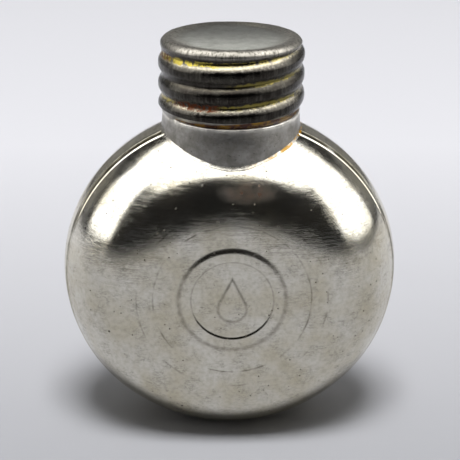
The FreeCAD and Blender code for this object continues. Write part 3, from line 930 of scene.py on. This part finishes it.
class OILBOTTLE_OT_cap(bpy.types.Operator):
    """Draw the cap and roll its coarse thread"""
    bl_idname = "oil_bottle.cap"
    bl_label = "Cap"

    def execute(self, context):
        settings = context.scene.oil_bottle.cap
        thread_end = CAP_TOP - CAP_CORNER / 2
        roof = CAP_TOP - CAP_DISH - CAP_SHEET + 0.02
        top_groove = CREST_LEVEL + PITCH / 2
        corner_foot = CAP_RADIUS - CAP_DRAW - CAP_CORNER
        wall_foot = DISH_RADIUS + 1
        piece = turned("cap", cap_rings(), 216)

        def dip(height, bearing):
            return groove(height, bearing) * (1 - ease(thread_end - 0.8, thread_end, height))

        def rule(point):
            out, height = math.hypot(point.x, point.y), point.z
            target = out
            if out > wall_foot:
                target -= THREAD_DEPTH * dip(height, bearing_of(point))
                target += 0.03 * noise.noise(point / 2.2) - 0.02
            share = target / max(out, 1e-6)
            if out > corner_foot or height > roof:
                # The top isn't quite square to the thread: its front stands higher.
                height -= settings.lean * point.y * ease(thread_end - 1.5, CAP_TOP, height)
                height += 0.05 * noise.noise(point / 3.0) * ease(CAP_TOP - 1, CAP_TOP, point.z)
            if out <= corner_foot and point.z > roof:
                height = max(height, roof + 0.13)
            return Vector((point.x * share, point.y * share, height - 0.03 + DRUM_AXIS))

        def root(point):
            out = math.hypot(point.x, point.y)
            return dip(point.z - DRUM_AXIS, bearing_of(point)) if out > wall_foot else 0.0

        def rubbed_and_highlighted(point):
            """1 on the flanks that face up, less on the middle turn: rubbed steel painted lighter
            there as a highlight.
            """
            height, bearing = point.z - DRUM_AXIS, bearing_of(point)
            if math.hypot(point.x, point.y) < wall_foot:
                return 0.0
            rise = dip(height + 0.35, bearing) - dip(height - 0.35, bearing)
            turns = (height - CREST_LEVEL) / PITCH - bearing / TURN
            return ease(0.0, 0.7, rise) * (0.12 if -1.5 < turns < -0.5 else 1.0)

        def glint(point):
            """1 on the edge just under the top and bottom grooves, where a highlight is painted.
            """
            if math.hypot(point.x, point.y) < wall_foot:
                return 0.0
            rise = point.z - DRUM_AXIS - top_groove - PITCH * bearing_of(point) / TURN
            return max(strength * math.exp(-((rise + turn * PITCH + 0.5) / 0.24) ** 2)
                       for turn, strength in ((0, 1.0), (1, 0.15), (2, 0.8)))

        def near(point, level, start, stop):
            """1 in the groove that crosses the front at level, between two bearings."""
            bearing = math.degrees(bearing_of(point))
            height = point.z - DRUM_AXIS - level - PITCH * bearing / 360
            along = ease(start - 9, start + 9, bearing) * (1 - ease(stop - 9, stop + 9, bearing))
            return along * (1 - ease(0.9, 1.3, abs(height)))

        reshape(piece, rule)
        note(piece, "root", root)
        note(piece, "rubbed_and_highlighted", rubbed_and_highlighted)
        note(piece, "glint", glint)
        film = ((0, -85, -12, 1.0), (0, -12, 75, 0.4), (0, 100, 200, 0.4), (1, 0, 80, 0.4),
                (2, -90, -55, 1.0), (2, -10, 70, 0.5))
        rust = ((0, -95, -62, 1.0), (2, -52, -12, 1.0), (1, 100, 150, 0.6))
        for name, stains in (("film", film), ("rust", rust)):
            note(piece, name, lambda point: max(
                strength * near(point, top_groove - turn * PITCH, start, stop)
                for turn, start, stop, strength in stains))
        settle(piece, "cap", cap_material(settings), "cap_shell", 50)
        return {"FINISHED"}


class OILBOTTLE_OT_gasket(bpy.types.Operator):
    """Stamp the leather gasket that seals the mouth"""
    bl_idname = "oil_bottle.gasket"
    bl_label = "Gasket"

    def execute(self, context):
        bottom, top, outer = reach_of("cap_gasket")
        bore, soft = 4.3, 0.25
        rings = [(bore, bottom + soft), (bore + soft, bottom)]
        rings += [(out, bottom) for out in levels(bore + 0.8, outer - 0.8, 0.5)]
        rings += [(outer - soft, bottom), (outer, bottom + soft), (outer, top - soft),
                  (outer - soft, top)]
        rings += [(out, top) for out in levels(outer - 0.8, bore + 0.8, 0.5)]
        rings += [(bore + soft, top), (bore, top - soft)]
        piece = turned("leather_gasket", rings, 128, ends="join")

        def rule(point):
            # The mouth has pressed a shallow track into the lower face.
            out = math.hypot(point.x, point.y)
            track = math.exp(-((out - NECK_RADIUS + 0.6) / 0.45) ** 2)
            lower = point.z < (bottom + top) / 2
            lift = 0.1 * track if lower else -0.04 * abs(noise.noise(point / 1.5))
            return point + Vector((0, 0, lift))

        reshape(piece, rule)
        settle(piece, "gasket", leather_material(context.scene.oil_bottle.brush),
               "cap_gasket", 50)
        return {"FINISHED"}


# ---- brush ----------------------------------------------------------------------------------

def rounded_disc(name, node, bore, soft, segments=96):
    """A stamped disc with softened edges that fills a CAD node's box, with or without a bore."""
    bottom, top, outer = reach_of(node)
    inner = bore or 0.3
    rings = [(inner, bottom), (outer - soft, bottom), (outer - soft * 0.3, bottom + soft * 0.3),
             (outer, bottom + soft), (outer, top - soft),
             (outer - soft * 0.3, top - soft * 0.3), (outer - soft, top), (inner, top)]
    return turned(name, rings, segments, ends="join" if bore else "fill")


class OILBOTTLE_OT_brush(bpy.types.Operator):
    """Build the brush: foot, washer, stem, crimped ferrule and a tuft of single bristles"""
    bl_idname = "oil_bottle.brush"
    bl_label = "Brush"

    def execute(self, context):
        settings = context.scene.oil_bottle.brush
        stamped = wire_material("stamped_tinplate", "B9B4A8", 0.3)
        foot = rounded_disc("brush_foot", "stem_foot", None, 0.2)
        settle(foot, "cap", stamped, "stem_foot")
        washer = rounded_disc("washer", "gasket_washer", 1.25, 0.12)
        settle(washer, "cap", stamped, "gasket_washer")
        self.build_stem()
        self.build_ferrule()
        self.build_tuft(settings)
        return {"FINISHED"}

    def build_stem(self):
        bottom, top, head = reach_of("brush_stem")
        wire = 1.25
        rings = [(0.3, bottom), (head - 0.3, bottom), (head, bottom + 0.25),
                 (head, bottom + 0.45), (head - 0.2, bottom + 0.68), (wire, bottom + 0.7)]
        rings += [(wire + 0.015 * math.sin(level * 1.7), level)
                  for level in levels(bottom + 1.0, top - 0.3, 1.0)]
        rings += [(wire, top), (0.3, top)]
        stem = turned("stem", rings, 48)
        settle(stem, "cap", wire_material("drawn_wire", "A9A59C", 0.24),
               "brush_stem")

    def build_ferrule(self):
        bottom, top, outer = reach_of("brush_ferrule")
        wall, crimp = 0.4, 0.35

        def side(level, inset):
            dent = crimp * math.exp(-((level - bottom - 3.3) / 0.45) ** 2)
            return outer - inset - dent, level

        rings = [side(level, 0) for level in levels(bottom, top - 0.7, 0.3)]
        rings += [(outer - 0.05, top - 0.4), (outer - 0.25, top - 0.12), (outer - 0.6, top),
                  (1.3, top), (1.3, top - 0.8), (outer - wall - 0.3, top - 0.8)]
        rings += [side(level, wall) for level in levels(top - 1.0, bottom, 0.3)]
        ferrule = turned("ferrule", rings, 72, ends="join")
        settle(ferrule, "cap", wire_material("crimped_tinplate", "C6BFAE", 0.26),
               "brush_ferrule")

    def build_tuft(self, settings):
        """One bristle is modelled once and copied, each copy with its own lean and length."""
        bottom, top, widest = reach_of("bristle_tuft")
        spread, packed = widest - 0.15, 2.3
        mouth = reach_of("brush_ferrule")[0]
        chance = random.Random(7)
        thick, rows = 0.16, 7
        # Bristles set this angle apart, ever further out, fill a round evenly.
        golden_turn = 2.39996
        bristle = turned("bristle", [(thick if row < rows - 1 else thick * 0.5, row / (rows - 1))
                                     for row in range(rows)], 5)
        copies = []
        for number in range(settings.bristles):
            share = math.sqrt((number + 0.5) / settings.bristles)
            bearing = number * golden_turn
            tip = share * spread * chance.uniform(0.9, 1.0)
            root = share * packed
            end = bottom + 3.2 * share ** 2 + chance.uniform(0, 1.3)
            sway = chance.uniform(-0.12, 0.12)
            copy = bristle.copy()
            copy.data = bristle.data.copy()
            bpy.context.scene.collection.objects.link(copy)

            def rule(point):
                down = point.z
                level = top + (end - top) * down
                open_share = ease(0.0, 1.0, max(0.0, mouth - level) / (mouth - bottom))
                out = root + (tip - root) * open_share
                turn = bearing + sway * open_share
                return Vector((out * math.cos(turn) + point.x, out * math.sin(turn) + point.y,
                               level))

            reshape(copy, rule)
            copies.append(copy)
        bpy.ops.object.select_all(action="DESELECT")
        for copy in copies:
            copy.select_set(True)
        bpy.data.objects.remove(bristle)
        bpy.context.view_layer.objects.active = copies[0]
        bpy.ops.object.join()
        tuft = bpy.context.object
        name_piece(tuft, "bristles")
        bpy.ops.object.mode_set(mode="EDIT")
        bpy.ops.mesh.select_all(action="SELECT")
        bpy.ops.mesh.normals_make_consistent(inside=False)
        bpy.ops.object.mode_set(mode="OBJECT")
        settle(tuft, "cap", bristle_material(settings), "bristle_tuft", 60)


# ---- stage ----------------------------------------------------------------------------------

def area_light(name, place, aim, size, radiance, for_paper=False):
    """A soft rectangle of light at place, in metres, turned to shine at aim.

    It is either one that only shows in the metal or one that only lights the paper.
    """
    data = bpy.data.lights.new(name, "AREA")
    data.shape = "RECTANGLE"
    data.size, data.size_y = size
    data.energy = radiance * math.pi * size[0] * size[1]
    light = bpy.data.objects.new(name, data)
    bpy.context.scene.collection.objects.link(light)
    light.location = place
    light.rotation_euler = (Vector(place) - Vector(aim)).to_track_quat("Z", "Y").to_euler()
    light.visible_glossy = not for_paper
    light.visible_diffuse = for_paper


class OILBOTTLE_OT_stage(bpy.types.Operator):
    """Set the pale table, the soft lights and the camera"""
    bl_idname = "oil_bottle.stage"
    bl_label = "Stage"

    def execute(self, context):
        settings = context.scene.oil_bottle.stage
        self.lay_table(settings)
        self.hang_lights(settings)
        self.aim_camera(settings)
        context.scene.view_settings.view_transform = "Standard"
        return {"FINISHED"}

    def lay_table(self, settings):
        """A sheet of pale paper, painted darker towards the camera as painted shade, that ends in
        front of the bottle.
        """
        table = begin(bpy.ops.mesh.primitive_plane_add, size=1.0)
        name_piece(table, "table")
        for vertex in table.data.vertices:
            vertex.co = Vector((math.copysign(0.6, vertex.co.x),
                                1.0 if vertex.co.y > 0 else -0.2, 0))
        material, add, place = new_material("matt_paper")
        # Painted shade: the colour fades to the near-floor colour towards the camera.
        near = add("MapRange", add("SeparateXYZ", place).outputs[1], 150.0, -20.0)
        tone = coats(add, settings.floor_colour[:], (near, 1.0, settings.near_floor_shade_colour[:]))
        finish_material(add, tone, 0.85)
        table.data.materials.append(material)

    def hang_lights(self, settings):
        """A softbox overhead, cards round the bottle, and lamps that light only the paper."""
        bright, lamp = settings.softbox_light, settings.lamp_light
        area_light("overhead_softbox", (0.0, -0.225, 0.62), (0.0, -0.225, 0.0), (1.3, 1.01),
                   bright)
        area_light("left_card", (-0.5, -0.03, 0.32), (0.0, -0.03, 0.32), (0.4, 0.52),
                   bright * 0.9)
        area_light("right_card", (0.5, -0.065, 0.32), (0.0, -0.065, 0.32), (0.53, 0.52),
                   bright * 0.9)
        area_light("back_card", (0.0, 0.7, 0.32), (0.0, 0.0, 0.32), (2.4, 0.52), bright * 0.09)
        area_light("high_lamp", (0.0, -0.5, 1.6), (0.0, 0.0, 0.0), (0.6, 0.6), lamp,
                   for_paper=True)
        area_light("ceiling", (0.0, 0.2, 1.2), (0.0, 0.2, 0.0), (2.0, 2.0), lamp * 0.012,
                   for_paper=True)
        world = bpy.data.worlds.new("studio")
        world.use_nodes = True
        world.node_tree.nodes.clear()
        add = partial(put, world.node_tree)
        seen = add("LightPath").outputs["Is Camera Ray"]
        shade = coats(add, linear("1D1D1D"), (seen, 1.0, settings.wall_colour[:]))
        add("OutputWorld", add("Background", shade))
        bpy.context.scene.world = world

    def aim_camera(self, settings):
        turn, rise = settings.camera_azimuth, settings.camera_elevation
        reach = settings.camera_distance
        place = Vector((math.sin(turn) * math.cos(rise), -math.cos(turn) * math.cos(rise),
                        math.sin(rise))) * reach + Vector((0, 0, DRUM_AXIS * MM))
        pitch = settings.camera_pitch
        ahead = Vector((-math.sin(turn) * math.cos(pitch), math.cos(turn) * math.cos(pitch),
                        -math.sin(pitch)))
        right = Vector((math.cos(turn), math.sin(turn), 0))
        up = right.cross(ahead)
        roll = settings.camera_roll
        right, up = (right * math.cos(roll) + up * math.sin(roll),
                     up * math.cos(roll) - right * math.sin(roll))
        data = bpy.data.cameras.new("camera")
        data.lens = settings.lens
        data.sensor_width = 36
        data.clip_start = 0.01
        camera = bpy.data.objects.new("camera", data)
        bpy.context.scene.collection.objects.link(camera)
        turn_matrix = Matrix((right, up, -ahead)).transposed()
        camera.matrix_world = Matrix.Translation(place) @ turn_matrix.to_4x4()
        bpy.context.scene.camera = camera


# ---- panel, registration and the run --------------------------------------------------------

OPERATORS = (
    OILBOTTLE_OT_front_pan, OILBOTTLE_OT_rear_pan, OILBOTTLE_OT_seam, OILBOTTLE_OT_neck,
    OILBOTTLE_OT_neck_solder, OILBOTTLE_OT_cap, OILBOTTLE_OT_gasket, OILBOTTLE_OT_brush,
    OILBOTTLE_OT_stage,
)


class OILBOTTLE_PT_panel(bpy.types.Panel):
    """Lists the bottle's pieces and their settings"""
    bl_label = "Oil bottle"
    bl_idname = "OILBOTTLE_PT_panel"
    bl_space_type = "VIEW_3D"
    bl_region_type = "UI"
    bl_category = "Oil bottle"

    def draw(self, context):
        for operator in OPERATORS:
            self.layout.operator(operator.bl_idname)
        settings = context.scene.oil_bottle
        for group in (settings.drum, settings.neck, settings.cap, settings.brush, settings.stage):
            box = self.layout.box()
            for name in group.bl_rna.properties.keys():
                if name not in ("rna_type", "name"):
                    box.prop(group, name)


CLASSES = (DrumSettings, NeckSettings, CapSettings, BrushSettings, StageSettings,
           BottleSettings) + OPERATORS + (OILBOTTLE_PT_panel,)


def register():
    for item in CLASSES:
        bpy.utils.register_class(item)
    bpy.types.Scene.oil_bottle = PointerProperty(type=BottleSettings)


def unregister():
    del bpy.types.Scene.oil_bottle
    for item in reversed(CLASSES):
        bpy.utils.unregister_class(item)


def main():
    register()
    bpy.ops.oil_bottle.front_pan()
    bpy.ops.oil_bottle.rear_pan()
    bpy.ops.oil_bottle.seam()
    bpy.ops.oil_bottle.neck()
    bpy.ops.oil_bottle.neck_solder()
    bpy.ops.oil_bottle.cap()
    bpy.ops.oil_bottle.gasket()
    bpy.ops.oil_bottle.brush()
    bpy.ops.oil_bottle.stage()


if __name__ == "__main__":
    main()
